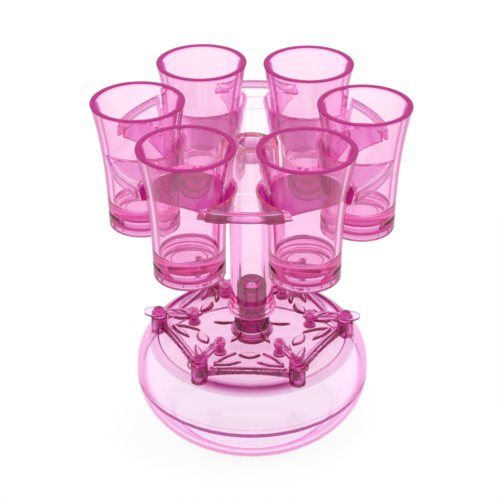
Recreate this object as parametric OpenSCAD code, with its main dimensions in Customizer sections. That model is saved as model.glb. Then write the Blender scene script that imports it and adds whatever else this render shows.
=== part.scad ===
// Party shot dispenser: a round reservoir with six swing taps on its deck, and a
// lift-off carrier whose rack holds six tapered shot glasses round a hollow column.
// Millimetres. The origin is the middle of the foot, +Z is up and -Y is the front.

/* [Bowl] */
// Width of the bowl's shoulder outside the deck, which sets the bowl's largest radius
shoulder_w = 7.3; // [6.5:0.1:8.5]
// Height of the bowl's widest line above the table
seam_z = 28.3; // [24:0.1:32]
// Depth of the lower half's ellipse, of which the foot cuts off the end
lower_h = 40.1; // [36:0.1:46]
// Height of the upper half's curve above the widest line
shoulder_h = 31.3; // [29:0.1:34]
// Squareness of the upper half's curve, where 2 is an ellipse
shoulder_n = 2.86; // [2.4:0.02:3.2]
// Wall of both bowl halves
bowl_wall = 2.4; // [1.8:0.1:3]
// Thickness of the foot plate
foot_t = 3; // [2:0.1:4]
// Height of the sealing band between the halves
band_h = 2.2; // [1.6:0.1:3]
// How far the lower half's tongue reaches up inside the upper half
tongue_h = 5; // [3.5:0.1:7]

/* [Deck] */
// Height of the deck's flat top
deck_z = 55.5; // [54:0.1:56.5]
// Radius of the deck moulding
deck_r = 56.4; // [56:0.1:57.5]
// Thickness of the deck moulding
deck_t = 2.6; // [2:0.1:3.2]
// Width of the rim between the crescents and the deck's edge
rim_w = 4.8; // [4.2:0.1:5.6]
// Depth of the crescents under the shoulder
crescent_d = 1.3; // [0.8:0.1:1.8]
// Width of a raised bead on the deck
bead_w = 2.3; // [1.6:0.1:3]
// Height of a raised bead
bead_h = 0.9; // [0.5:0.1:1.4]
// Radius of the scallop bead in each side of the deck
scallop_r = 20; // [18:0.5:21]
// Distance of the scallop's centre outside the deck's straight side
scallop_out = 3.7; // [2.5:0.1:5]
// Length of the lens-shaped bead in front of the neck
lens_l = 11.6; // [9:0.1:13]
// Distance of that lens inside the deck's straight side
lens_in = 13.6; // [12.5:0.1:15]

/* [Neck] */
// Radius of the neck's lower barrel
barrel_r = 9.6; // [9:0.1:10.4]
// Height of the barrel's lower end
barrel_z = 45.3; // [44.5:0.1:47]
// Height of the shoulder that the column stands on
barrel_top = 65.8; // [63:0.1:68]
// Radius of the spigot that the column slides over
spigot_r = 7.9; // [7.4:0.05:8.3]
// Height of the spigot's top
spigot_top = 84; // [78:0.5:90]
// Radius of the neck's bore
neck_bore_r = 6.2; // [5.8:0.1:6.6]
// Radius of the drain hole in the barrel's floor
drain_r = 3.6; // [3:0.1:4.2]
// Thickness of the barrel's floor
drain_floor = 2.2; // [1.6:0.1:3]
// Radius of the plug's stem
stem_r = 3.4; // [2.8:0.1:4]
// Height of the stem's top
stem_top = 82; // [76:0.5:88]

/* [Taps] */
// Distance of each spout's axis inside the circle that the crescents reach
spout_in = 0.8; // [0.4:0.1:1.2]
// Outer radius of a spout
spout_r = 4.4; // [4:0.1:4.6]
// Radius of a spout's bore
spout_bore_r = 2.6; // [2:0.1:3]
// Height of a spout's mouth
spout_top = 59.8; // [58.5:0.1:60.5]
// Depth of a spout's seat in the deck, measured below the deck's top
spout_seat = 6.5; // [6:0.1:6.8]
// Length of each lever from its pivot to its spout
lever_l = 19.3; // [18:0.1:20.5]
// Radius of the pivot post
post_r = 2.4; // [2.1:0.1:2.8]
// Radius of the pivot pin
pin_r = 1.45; // [1.2:0.05:1.7]
// Radius of the lever's arm
arm_r = 2.1; // [1.7:0.1:2.4]
// Radius of the eye at the lever's pivot end
eye_r = 3.1; // [2.8:0.1:3.6]
// Length of the oval thumb pad
pad_l = 12.8; // [11.5:0.1:14]
// Width of the oval thumb pad
pad_w = 9.6; // [8.8:0.1:11]
// Thickness of the thumb pad
pad_t = 1.4; // [1:0.1:1.8]
// How far the pad's centre lies outside the spout's axis
pad_out = 1.6; // [1:0.1:2.2]
// Radius of the stopper's domed head
knob_r = 3.2; // [2.8:0.1:3.8]
// Height of the dome over the pad
knob_h = 2.6; // [1.8:0.1:3.2]
// Radius of the stopper's neck through the pad
knob_neck_r = 1.6; // [1.2:0.1:2]

/* [Carrier] */
// Outer radius of the column
column_r = 11.6; // [11:0.1:12.4]
// Radius of the column's foot
column_foot_r = 13; // [12.6:0.1:14]
// Height of the column's flared foot
column_foot_h = 8; // [5:0.5:12]
// Height of the rack's top
rack_z = 167.5; // [162:0.5:172]
// Radius of the rack
rack_r = 73.5; // [72:0.1:75]
// Thickness of the rack's plate
rack_t = 2.2; // [1.8:0.1:3]
// Height of the lip at the rack's edge
lip_h = 5.8; // [4.5:0.1:7]
// Thickness of the lip
lip_t = 2.6; // [2:0.1:3.2]
// Radius of each notch at the rack's top
notch_r = 22.8; // [22.3:0.1:23.4]
// Wall of the collars under the notches
collar_wall = 1.6; // [1.3:0.1:2]
// Height of the collars on the side of the column
collar_h = 23.5; // [20:0.5:26]
// Length of the rack's spigot inside the column
rack_spigot_h = 8; // [6:0.5:12]

/* [Glasses] */
// Distance of each glass from the middle
glass_c = 56.5; // [56:0.1:57.5]
// Height of a glass
glass_h = 68.9; // [66:0.1:72]
// Height of a glass's foot above the table
glass_z = 119.65; // [118:0.05:122]
// Outer radius of a glass at its foot
glass_foot_r = 17.9; // [17.4:0.1:18.3]
// Outer radius of a glass at its rim
glass_rim_r = 24; // [23.5:0.1:24.5]
// How late the glass flares, where 1 is a straight cone
glass_flare = 2.6; // [2.2:0.1:3]
// Wall of a glass
glass_wall = 2.9; // [2.1:0.1:3.2]
// Thickness of a glass's solid base
glass_base_t = 13; // [11:0.1:15]
// Height of the groove round the base
groove_z = 8.6; // [7.5:0.1:9.5]
// Depth of that groove
groove_d = 0.6; // [0.3:0.1:0.9]
// Radius of the hollow under the base
hollow_r = 14; // [12.5:0.1:14.5]
// Depth of the hollow under the base
hollow_d = 2.6; // [1.8:0.1:4]

/* [Fits] */
// Radial clearance of pieces that slide or turn on each other
fit = 0.05; // [0.03:0.01:0.08]
// Gap between faces that rest on each other in use
rest_gap = 0.15; // [0.1:0.01:0.25]

/* [Hidden] */
$fn = 64;
places = 6;
first_azimuth = -60;
cut = 1;

bowl_r = deck_r + shoulder_w;
crescent_r = deck_r - rim_w;
spout_c = crescent_r - spout_in;
pivot_c = spout_c - lever_l;

// Radius of the bowl's upper half at height z, with the wall taken off where it is the inside
function shoulder_at(z, wall = 0) =
    (bowl_r - wall) * pow(1 - pow((z - seam_z) / (shoulder_h - wall), shoulder_n), 1 / shoulder_n);
// Height of the upper half at radius r
function shoulder_top(r) =
    seam_z + shoulder_h * pow(1 - pow(r / bowl_r, shoulder_n), 1 / shoulder_n);
// Radius of the bowl's lower half at height z
function lower_at(z, wall = 0) =
    (bowl_r - wall) * sqrt(1 - pow((seam_z - z) / (lower_h - wall), 2));
// Outer radius of a glass at height h over its own foot
function glass_at(h) = glass_foot_r + (glass_rim_r - glass_foot_r) * pow(h / glass_h, glass_flare);
// Evenly spaced values from a to b, both included
function steps(a, b, n) = [for (i = [0:n]) a + (b - a) * i / n];

band_bottom = seam_z - band_h / 4;
band_top = band_bottom + band_h;
tongue_r = lower_at(band_bottom, bowl_wall) + bowl_wall / 2;
hex_in_r = shoulder_at(deck_z);
edge_proud = 0.5;
deck_rim_z = shoulder_top(deck_r);
deck_seat_z = deck_rim_z - deck_t;
deck_under_z = deck_z - crescent_d - deck_t;
ledge_w = 2.4;
ledge_t = 2.2;
flange_w = 2;
spout_floor = deck_z - spout_seat;
post_top = spout_top;
lever_z = post_top + rest_gap;
arm_z = lever_z + arm_r + fit;
eye_top = arm_z + arm_r / 2;
disc_t = 1.25;
disc_r = spout_r - 0.4;
pad_z = spout_top + rest_gap + disc_t;
post_foot_r = post_r + 1;
post_foot_h = 0.9;
post_seat = 0.5;
pin_foot_z = deck_z + post_foot_h;
pin_head_r = pin_r + 1;
pin_head_h = 0.9;
plug_floor = barrel_z + drain_floor;
column_bore_r = spigot_r + fit;
column_z = barrel_top + rest_gap;
column_top = rack_z - rack_t;
collar_z = rack_z - collar_h;
collar_low_r = glass_at(collar_z - glass_z) + rest_gap;
collar_slope = (notch_r - collar_low_r) / collar_h;
lip_z = rack_z - lip_h;
tip_in = (rack_r * rack_r - glass_c * glass_c - notch_r * notch_r) / (2 * glass_c);
collar_tilt = atan2(lip_z - collar_z, tip_in + collar_low_r);

// Puts its children at place i of the six round the middle, turned to face outwards along +X
module at_place(i, distance) {
    rotate([0, 0, first_azimuth + (i - 1) * 360 / places])
        translate([distance, 0, 0]) children();
}

// Lens with two pointed ends, l long and w wide, lying along X
module lens(l, w) {
    r = (l * l + w * w) / (4 * w);
    intersection() {
        translate([0, r - w / 2]) circle(r, $fn = 96);
        translate([0, w / 2 - r]) circle(r, $fn = 96);
    }
}

// Part of a ring of radius r and width w, between angles a and b
module arc_strip(r, w, a, b) {
    reach = 2 * r;
    intersection() {
        difference() {
            circle(r + w / 2, $fn = 96);
            circle(r - w / 2, $fn = 96);
        }
        polygon([[0, 0], for (t = steps(a, b, 4)) [reach * cos(t), reach * sin(t)]]);
    }
}

// Lower half of the reservoir, with its flat foot and the tongue that centres the upper half
module lower_bowl() {
    outside = [for (z = steps(0, band_bottom, 14)) [lower_at(z), z]];
    inside = [for (z = steps(band_bottom, foot_t, 12)) [lower_at(z, bowl_wall), z]];
    color([0.93, 0.45, 0.78, 0.5]) rotate_extrude()
        polygon(concat([[0, 0]], outside,
            [[tongue_r, band_bottom], [tongue_r, band_bottom + tongue_h],
             [tongue_r - bowl_wall / 2, band_bottom + tongue_h]],
            inside, [[0, foot_t]]));
}

// Soft band that seals the two halves and shows as a line round the bowl
module seam_band() {
    color([0.72, 0.2, 0.52, 0.8]) rotate_extrude()
        polygon([[tongue_r + fit, band_bottom + fit], [lower_at(band_bottom), band_bottom + fit],
            [bowl_r - 0.3, seam_z], [shoulder_at(band_top), band_top - fit],
            [tongue_r + fit, band_top - fit]]);
}

// Upper half of the reservoir, with the ledge that carries the deck
module upper_bowl() {
    ledge_z = deck_seat_z - fit;
    ledge_r = deck_r - ledge_w;
    outside = [for (z = steps(band_top, shoulder_top(deck_r + fit), 16)) [shoulder_at(z), z]];
    inside = [for (z = steps(ledge_z - ledge_t, band_top + tongue_h, 10)) [shoulder_at(z, bowl_wall), z]];
    color([0.95, 0.5, 0.82, 0.5]) rotate_extrude()
        polygon(concat([[tongue_r + fit, band_top]], outside,
            [[deck_r + fit, ledge_z], [ledge_r, ledge_z], [ledge_r, ledge_z - ledge_t]],
            inside, [[tongue_r + fit, band_top + tongue_h - 1]]));
}

// Beads of one side of the deck, drawn with the side's middle along +X
module side_beads() {
    scallop_half = 62;
    leaf_l = 15;
    leaf_w = 3.4;
    leaf_in = 5.7;
    leaf_side = 11.6;
    leaf_turn = 78;
    rib_l = 10.5;
    rib_w = 3;
    rib_gap = 0.7;
    edge_half = hex_in_r * tan(180 / places) - spout_r;
    translate([hex_in_r - lens_in, 0]) rotate(90) lens(lens_l, lens_l / 2);
    for (side = [-1, 1]) {
        translate([hex_in_r - leaf_in, side * leaf_side])
            rotate(side * leaf_turn) lens(leaf_l, leaf_w);
    }
    translate([hex_in_r + scallop_out, 0]) for (side = [0, 1]) mirror([0, side])
        arc_strip(scallop_r, bead_w, 180 - scallop_half, 180 - scallop_half / 3);
    translate([hex_in_r - bead_w, -edge_half]) square([bead_w, 2 * edge_half]);
    rotate(180 / places) translate([barrel_r + rib_gap + rib_l / 2, 0]) lens(rib_l, rib_w);
}

// Deck: a six-sided platform in a round moulding, with raised beads and the spouts' seats
module deck() {
    root_d = 0.3;
    slope_in = 1;
    slope_out = 3;
    rim_top = [for (r = steps(deck_r, crescent_r, 5)) [r, shoulder_top(r)]];
    crescent = [for (r = steps(crescent_r, hex_in_r, 7)) [r, shoulder_top(r) - crescent_d]];
    color([0.85, 0.35, 0.68, 0.6]) difference() {
        union() {
            rotate_extrude() polygon(concat(
                [[0, deck_under_z], [hex_in_r - slope_in, deck_under_z],
                 [hex_in_r + slope_out, deck_seat_z], [deck_r, deck_seat_z]],
                rim_top, crescent, [[0, deck_z - crescent_d]]));
            translate([0, 0, deck_z - deck_t]) linear_extrude(deck_t)
                rotate(first_azimuth) circle((hex_in_r + edge_proud) / cos(180 / places), $fn = places);
            translate([0, 0, deck_z - root_d]) linear_extrude(bead_h + root_d)
                for (i = [1:places]) rotate(first_azimuth + (i - 0.5) * 360 / places) side_beads();
        }
        cylinder(h = 2 * deck_z, r = barrel_r + fit);
        for (i = [1:places]) {
            at_place(i, spout_c) translate([0, 0, spout_floor])
                cylinder(h = 2 * spout_seat, r = spout_r + fit);
            at_place(i, spout_c) cylinder(h = deck_z, r = spout_bore_r);
            at_place(i, pivot_c) translate([0, 0, deck_z - post_seat])
                cylinder(h = 2 * (post_seat + bead_h), r = post_foot_r + fit);
        }
    }
}

// Neck: a barrel with a drained floor, and the spigot that the column slides over
module neck() {
    flange_t = 2;
    spigot_edge = 0.6;
    color([0.6, 0.15, 0.45, 0.7]) rotate_extrude()
        polygon([[drain_r, barrel_z], [barrel_r, barrel_z], [barrel_r, deck_under_z - flange_t],
            [barrel_r + flange_w, deck_under_z - flange_t], [barrel_r + flange_w, deck_under_z - fit],
            [barrel_r, deck_under_z - fit], [barrel_r, barrel_top], [spigot_r, barrel_top],
            [spigot_r, spigot_top - spigot_edge], [spigot_r - spigot_edge, spigot_top],
            [neck_bore_r, spigot_top], [neck_bore_r, plug_floor], [drain_r, plug_floor]]);
}

// Plug that closes the drain hole, lifted out by its stem
module drain_plug() {
    bung_r = neck_bore_r - 1;
    bung_h = 4;
    nose_r = drain_r - fit;
    nose_z = barrel_z + 0.4;
    nose_edge = 0.5;
    stem_edge = 0.8;
    color([0.62, 0.16, 0.46, 0.8]) rotate_extrude()
        polygon([[0, nose_z], [nose_r - nose_edge, nose_z], [nose_r, nose_z + nose_edge],
            [nose_r, plug_floor + rest_gap], [bung_r, plug_floor + rest_gap],
            [bung_r, plug_floor + bung_h - 1], [stem_r, plug_floor + bung_h],
            [stem_r, stem_top - stem_edge], [stem_r - stem_edge, stem_top], [0, stem_top]]);
}

// Outlet tube of tap i, standing in its seat in the deck
module spout(i) {
    color([0.8, 0.28, 0.62, 0.6]) at_place(i, spout_c) difference() {
        translate([0, 0, spout_floor + fit]) cylinder(h = spout_top - spout_floor - fit, r = spout_r);
        translate([0, 0, spout_floor - cut]) cylinder(h = spout_top, r = spout_bore_r);
    }
}

// Post of tap i, with a round foot, that carries the lever's eye
module pivot_post(i) {
    color([0.7, 0.2, 0.52, 0.7]) at_place(i, pivot_c) difference() {
        union() {
            translate([0, 0, deck_z - post_seat + fit])
                cylinder(h = post_foot_h + post_seat - fit, r = post_foot_r);
            translate([0, 0, deck_z]) cylinder(h = post_top - deck_z, r = post_r);
        }
        translate([0, 0, pin_foot_z]) cylinder(h = post_top, r = pin_r + fit / 2);
    }
}

// Six headed pins that hold the levers on their posts
module pivot_pins() {
    head_z = eye_top + rest_gap;
    color([0.85, 0.4, 0.7, 0.7]) for (i = [1:places]) at_place(i, pivot_c) {
        translate([0, 0, pin_foot_z + fit]) cylinder(h = head_z - pin_foot_z, r = pin_r);
        translate([0, 0, head_z]) cylinder(h = pin_head_h, r = pin_head_r);
    }
}

// Lever of tap i: an eye on the pivot, a round arm and an oval thumb pad over the spout
module tap_lever(i) {
    pad_c = lever_l + pad_out;
    whole_h = arm_z + arm_r - lever_z + 2 * cut;
    color([0.88, 0.4, 0.72, 0.6]) at_place(i, pivot_c) difference() {
        union() {
            translate([0, 0, lever_z]) cylinder(h = eye_top - lever_z, r = eye_r);
            translate([0, 0, arm_z]) rotate([0, 90, 0]) cylinder(h = lever_l - knob_r / 2, r = arm_r);
            translate([pad_c, 0, pad_z]) linear_extrude(pad_t)
                polygon([for (a = [0:11.25:348.75]) [pad_l / 2 * cos(a), pad_w / 2 * sin(a)]]);
        }
        translate([0, 0, lever_z - cut]) cylinder(h = whole_h, r = pin_r + fit);
        translate([0, 0, eye_top]) cylinder(h = 2 * arm_r, r = pin_head_r + rest_gap);
        translate([lever_l, 0, lever_z - cut]) cylinder(h = whole_h, r = knob_neck_r + fit);
        translate([lever_l, 0, pad_z + pad_t]) cylinder(h = 2 * arm_r, r = knob_r + fit);
        translate([lever_l, 0, pad_z - 2 * arm_r]) cylinder(h = 2 * arm_r, r = disc_r + fit);
    }
}

// Stopper of tap i: a domed head over the pad, a neck through it and a disc on the spout's mouth
module tap_stopper(i) {
    head_z = pad_z + pad_t;
    head_edge = 0.4;
    dome = [for (a = steps(0, 80, 8))
        [knob_r * cos(a), head_z + head_edge + (knob_h - head_edge) * sin(a)]];
    color([0.75, 0.2, 0.55, 0.8]) at_place(i, spout_c) rotate_extrude()
        polygon(concat([[0, spout_top + rest_gap], [disc_r, spout_top + rest_gap],
            [disc_r, pad_z - fit], [knob_neck_r, pad_z - fit],
            [knob_neck_r, head_z + fit], [knob_r, head_z + fit]],
            dome, [[0, head_z + knob_h]]));
}

// Hollow column that carries the rack, with a flared foot over the neck's shoulder
module column() {
    foot_edge = 0.8;
    color([0.93, 0.5, 0.8, 0.5]) rotate_extrude()
        polygon([[column_bore_r, column_z], [column_foot_r - foot_edge, column_z],
            [column_foot_r, column_z + foot_edge], [column_foot_r, column_z + column_foot_h / 3],
            [column_r, column_z + column_foot_h], [column_r, column_top - fit],
            [column_bore_r, column_top - fit]]);
}

// Conical hole of place i that a glass hangs in, cut through the rack's plate and its collar
module notch(i) {
    over = 2;
    at_place(i, glass_c) translate([0, 0, collar_z - over])
        cylinder(h = collar_h + 2 * over, r1 = collar_low_r - over * collar_slope,
            r2 = notch_r + over * collar_slope);
}

// Outer cone of the collar of place i, grown all round by a clearance
module collar_cone(i, clearance = 0) {
    at_place(i, glass_c) translate([0, 0, collar_z])
        cylinder(h = collar_h, r1 = collar_low_r + collar_wall + clearance,
            r2 = notch_r + collar_wall + clearance);
}

// Collar of place i under the plate, cut off aslant so that it rises towards the rack's edge
module collar(i) {
    color([0.66, 0.18, 0.48, 0.7]) difference() {
        intersection() {
            collar_cone(i);
            translate([0, 0, collar_z - cut])
                cylinder(h = collar_h - rack_t - fit + cut, r = rack_r - lip_t - fit, $fn = 128);
        }
        at_place(i, glass_c) translate([-collar_low_r, 0, collar_z]) rotate([0, -collar_tilt, 0])
            translate([-rack_r, -rack_r, -2 * collar_h]) cube([4 * rack_r, 2 * rack_r, 2 * collar_h]);
        notch(i);
    }
}

// Rack: a round plate with six notches, a lip at its edge, webs and a spigot for the column
module rack() {
    spigot_wall = 1.8;
    web_c = 52.5;
    web_size = [1.6, 16, 8];
    web_sunk = 1;
    color([0.8, 0.3, 0.62, 0.6]) union() {
        difference() {
            union() {
                translate([0, 0, rack_z - rack_t]) cylinder(h = rack_t, r = rack_r, $fn = 128);
                rotate_extrude($fn = 128)
                    polygon([[rack_r - lip_t, rack_z - rack_t / 2], [rack_r - lip_t, lip_z + lip_t / 2],
                        [rack_r - lip_t / 2, lip_z], [rack_r - lip_t / 4, lip_z + lip_t / 10],
                        [rack_r, lip_z + lip_t / 2], [rack_r, rack_z - rack_t / 2]]);
            }
            for (i = [1:places]) notch(i);
        }
        difference() {
            for (i = [1:places]) rotate([0, 0, first_azimuth + (i - 0.5) * 360 / places])
                translate([web_c, -web_size[1] / 2, rack_z - web_sunk - web_size[2]]) cube(web_size);
            for (i = [1:places]) collar_cone(i, fit);
        }
        translate([0, 0, column_top - rack_spigot_h]) difference() {
            cylinder(h = rack_spigot_h + rack_t / 2, r = column_bore_r - fit);
            translate([0, 0, -cut])
                cylinder(h = rack_spigot_h + cut, r = column_bore_r - fit - spigot_wall);
        }
    }
}

// Shot glass of place i: flared wall, thick base with a groove round it and a hollow under it
module glass(i) {
    floor_r = glass_at(glass_base_t) - glass_wall;
    corner = 2.2;
    groove_w = 1.2;
    rim_round = 0.6;
    foot_edge = 0.8;
    step_h = 1.2;
    step_w = 5;
    lower_out = [for (h = steps(foot_edge, groove_z - groove_w, 2)) [glass_at(h), h]];
    upper_out = [for (h = steps(groove_z + groove_w, glass_h - rim_round, 13)) [glass_at(h), h]];
    inside = [for (h = steps(glass_h - rim_round, glass_base_t + corner, 12))
        [glass_at(h) - glass_wall, h]];
    floor_round = [for (a = steps(18, 90, 4))
        [floor_r - corner + corner * cos(a), glass_base_t + corner - corner * sin(a)]];
    color([0.93, 0.42, 0.76, 0.5]) at_place(i, glass_c) translate([0, 0, glass_z]) rotate_extrude()
        polygon(concat(
            [[0, hollow_d + step_h], [hollow_r - step_w, hollow_d + step_h],
             [hollow_r - step_w + step_h / 2, hollow_d], [hollow_r - rim_round, hollow_d],
             [hollow_r, hollow_d - rim_round], [hollow_r, 0], [glass_foot_r - foot_edge, 0]],
            lower_out, [[glass_at(groove_z) - groove_d, groove_z]], upper_out,
            [[glass_rim_r - rim_round, glass_h], [glass_rim_r - glass_wall + rim_round, glass_h]],
            inside, floor_round, [[0, glass_base_t]]));
}

lower_bowl();
seam_band();
upper_bowl();
deck();
neck();
drain_plug();
pivot_pins();
column();
rack();
for (i = [1:places]) {
    spout(i);
    pivot_post(i);
    tap_lever(i);
    tap_stopper(i);
    collar(i);
    glass(i);
}
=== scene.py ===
import math

import bpy
import numpy as np
from mathutils import Matrix, Vector


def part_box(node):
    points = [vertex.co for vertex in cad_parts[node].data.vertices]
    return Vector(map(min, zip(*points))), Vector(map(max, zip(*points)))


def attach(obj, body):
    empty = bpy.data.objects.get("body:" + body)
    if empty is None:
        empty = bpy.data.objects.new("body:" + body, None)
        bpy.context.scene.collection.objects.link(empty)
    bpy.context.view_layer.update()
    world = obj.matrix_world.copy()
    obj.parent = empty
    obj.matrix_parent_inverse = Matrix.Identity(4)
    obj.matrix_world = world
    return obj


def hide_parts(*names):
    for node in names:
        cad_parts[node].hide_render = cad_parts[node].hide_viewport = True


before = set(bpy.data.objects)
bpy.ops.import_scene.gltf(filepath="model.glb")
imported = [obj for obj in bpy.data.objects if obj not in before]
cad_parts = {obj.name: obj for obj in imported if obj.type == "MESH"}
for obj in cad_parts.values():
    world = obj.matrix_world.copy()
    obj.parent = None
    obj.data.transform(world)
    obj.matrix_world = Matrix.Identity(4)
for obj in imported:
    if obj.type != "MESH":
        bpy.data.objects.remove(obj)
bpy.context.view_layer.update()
mm = 0.001
places = 6
sector = 2 * math.pi / places
firstAzimuth = math.radians(-60)


# Sizes are in millimetres. Where a node's box gives one, it is read from the frame.

def spanOf(node):
    # lowest and highest corner of a node's box
    low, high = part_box(node)
    return np.array(low) / mm, np.array(high) / mm


bandLow, bandHigh = spanOf("seam_band")
neckLow, neckHigh = spanOf("neck")
plugLow, plugHigh = spanOf("drain_plug")
columnLow, columnHigh = spanOf("column")
bowlHigh, deckHigh, rackHigh = [spanOf(node)[1] for node in ("lower_bowl", "deck", "rack")]
glassLow = spanOf("glass_1")[0]


# Mesh tools: every piece is a grid of points worked out with numpy.

def finishMesh(name, points, faces, sharpAngle=32.0):
    # turns the faces outwards by the sign of the enclosed volume, and shades smooth between sharp edges
    first = points[faces[:, 0]]
    volume = np.einsum("ij,ij->i", first, np.cross(points[faces[:, 1]], points[faces[:, 2]])).sum()
    volume += np.einsum("ij,ij->i", first, np.cross(points[faces[:, 2]], points[faces[:, 3]])).sum()
    if volume < 0:
        faces = faces[:, ::-1]
    # a face at a pole has one corner twice and becomes a triangle
    firstTwin, lastTwin = faces[:, 0] == faces[:, 1], faces[:, 2] == faces[:, 3]
    quads = faces[~(firstTwin | lastTwin)]
    triangles = np.where(lastTwin[:, None], faces[:, :3], faces[:, 1:])[firstTwin != lastTwin]
    mesh = bpy.data.meshes.new(name)
    mesh.from_pydata((points * mm).tolist(), [], quads.tolist() + triangles.tolist())
    mesh.polygons.foreach_set("use_smooth", np.ones(len(mesh.polygons), bool))
    mesh.set_sharp_from_angle(angle=math.radians(sharpAngle))
    mesh.update()
    piece = bpy.data.objects.new(name, mesh)
    bpy.context.scene.collection.objects.link(piece)
    return piece


def gridFaces(rows, columns, wrapRows):
    # quads between neighbouring rows of a grid whose columns run round and close on themselves
    r = np.arange(rows if wrapRows else rows - 1)
    rowGrid, columnGrid = np.meshgrid(r, np.arange(columns), indexing="ij")
    nextRow = (rowGrid + 1) % rows
    nextColumn = (columnGrid + 1) % columns
    corners = [rowGrid * columns + columnGrid, rowGrid * columns + nextColumn,
               nextRow * columns + nextColumn, nextRow * columns + columnGrid]
    return np.stack([corner.ravel() for corner in corners], 1)


def closedGrid(name, grid, sharpAngle=32.0, wrapRows=False, share=None):
    # grid is rows x columns x 3, and share gives its points their tint and painted shade; a row that
    # falls together is one pole
    rows, columns = grid.shape[:2]
    index = np.arange(rows * columns).reshape(rows, columns)
    isPole = np.abs(grid - grid[:, :1]).max(axis=(1, 2)) < 1e-6
    index[isPole] = index[isPole][:, :1]
    faces = index.ravel()[gridFaces(rows, columns, wrapRows)]
    used, compact = np.unique(faces, return_inverse=True)
    piece = finishMesh(name, grid.reshape(-1, 3)[used], compact.reshape(faces.shape), sharpAngle)
    if share is not None:
        tintAndShade(piece, share.ravel()[used])
    return piece


def tintAndShade(piece, share):
    # how much of the deep colour each point takes, up to 1, and from there up to 2 how dull it is; the
    # deep colour is partly a part's own deeper tint and partly painted shade
    layer = piece.data.attributes.new("tintAndShade", "FLOAT", "POINT")
    layer.data.foreach_set("value", np.clip(share, 0, 2).astype(np.float32).ravel())


def localPoints(piece, angle=0.0, distance=0.0):
    # points of a piece in millimetres, seen from the place at this angle and distance from the middle
    flat = np.empty(len(piece.data.vertices) * 3)
    piece.data.vertices.foreach_get("co", flat)
    return turned(flat.reshape(-1, 3) / mm, -angle) - np.array([distance, 0, 0])


def distanceOut(points):
    # distance of points from the upright axis
    return np.hypot(points[..., 0], points[..., 1])


def around(value, middle, width):
    # bell of height 1 round a middle value, falling to a third at one width
    return np.exp(-((value - middle) / width) ** 2)


def smoothStep(low, high, value):
    # eased step from 0 at the first value to 1 at the second, which may lie below the first
    share = np.clip((value - low) / (high - low), 0, 1)
    return share * share * (3 - 2 * share)


def superPower(value, power):
    # the power of a value's size, with the value's own sign
    return np.sign(value) * np.abs(value) ** power


def turned(points, angle, offset=(0.0, 0.0, 0.0)):
    # moves points by offset, then turns them round the upright axis
    moved = points + np.asarray(offset)
    c, s = math.cos(angle), math.sin(angle)
    return np.stack([moved[..., 0] * c - moved[..., 1] * s,
                     moved[..., 0] * s + moved[..., 1] * c, moved[..., 2]], -1)


def placeAngle(place):
    # place 1 stands at the first azimuth, and each next one a sector further round
    return firstAzimuth + (place - 1) * sector


def revolvedGrid(profile, segments):
    # point (r, z) of the profile at turn t lies at (r cos t, r sin t, z)
    turn = np.linspace(0, 2 * math.pi, segments, endpoint=False)
    r, z = profile[:, :1], profile[:, 1:]
    return np.stack([r * np.cos(turn), r * np.sin(turn), z + 0 * turn], -1)


def revolved(name, profile, segments, place=None, distance=0.0):
    # a profile carried round the middle's axis, or round an upright axis this far out at a place
    grid = revolvedGrid(profile, segments)
    if place is not None:
        grid = turned(grid, placeAngle(place), (distance, 0, 0))
    return closedGrid(name, grid, wrapRows=profile[0, 0] > 0)


def quarterArc(centre, start, end):
    # centre + start cos t + end sin t over a quarter turn, without its first point
    turn = np.linspace(0, math.pi / 2, 6)[1:]
    return np.array(centre) + np.outer(np.cos(turn), start) + np.outer(np.sin(turn), end)


def capped(rings):
    # a first and a last row more, each fallen together at the middle of the ring beside it
    first, last = rings[:1].mean(1, keepdims=True), rings[-1:].mean(1, keepdims=True)
    return np.concatenate([first + 0 * rings[:1], rings, last + 0 * rings[:1]])


def roundedProfile(corners, steps=4):
    # each corner is (r, z) or (r, z, fillet); a fillet becomes an arc tangent to both sides
    count = len(corners)
    out = []
    for i, corner in enumerate(corners):
        here = np.array(corner[:2], float)
        fillet = corner[2] if len(corner) > 2 else 0.0
        if fillet == 0:
            out.append(here)
            continue
        before = np.array(corners[i - 1][:2], float) - here
        after = np.array(corners[(i + 1) % count][:2], float) - here
        before, after = before / np.linalg.norm(before), after / np.linalg.norm(after)
        half = math.acos(np.clip(before @ after, -1, 1)) / 2
        reach = fillet / math.tan(half)
        centre = here + (before + after) / np.linalg.norm(before + after) * fillet / math.sin(half)
        start, end = here + before * reach - centre, here + after * reach - centre
        sweep = math.acos(np.clip(start @ end / fillet ** 2, -1, 1))
        share = np.linspace(0, 1, steps + 1)[:, None]
        arc = (np.sin((1 - share) * sweep) * start + np.sin(share * sweep) * end) / math.sin(sweep)
        out.extend(centre + arc)
    return np.array(out)


# Materials: clear tinted acrylic is a refracting skin over a body that absorbs green most.

acrylic = {
    "ior": 1.49,
    "absorbed": (0.955, 0.02, 0.72),
    "film": (0.997, 0.95, 0.985),
    "filmIor": 1.02,
    "deep": (0.38, 0.02, 0.17),
    "grazing": (0.6, 0.74),
    "grazeShare": 0.75,
    "outline": (0.84, 0.97),
    "outlineShare": 0.6,
    "clearness": (1.0, 0.1),  # at stain 1 and at stain 2
    "gloss": (0.5, 0.1),
    "rippleScale": 55.0,
    "rippleDetail": 1.5,
    "rippleStrength": 0.012,
    "rippleDistance": 0.0006,
    "scuffScale": 900.0,
    "scuffDetail": 3.0,
    "scuffed": (0.45, 0.8),
    "roughHigh": 0.03,
}


def newMaterial(name):
    # a material with an empty node tree
    material = bpy.data.materials.new(name)
    material.use_nodes = True
    material.node_tree.nodes.clear()
    return material, material.node_tree


def addNode(tree, kind, inputs, **settings):
    # a new node whose inputs each take a number, a colour or the socket that feeds them
    node = tree.nodes.new("ShaderNode" + kind)
    for name, value in settings.items():
        setattr(node, name, value)
    for name, value in inputs.items():
        if isinstance(value, bpy.types.NodeSocket):
            tree.links.new(value, node.inputs[name])
        else:
            node.inputs[name].default_value = value
    return node


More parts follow.
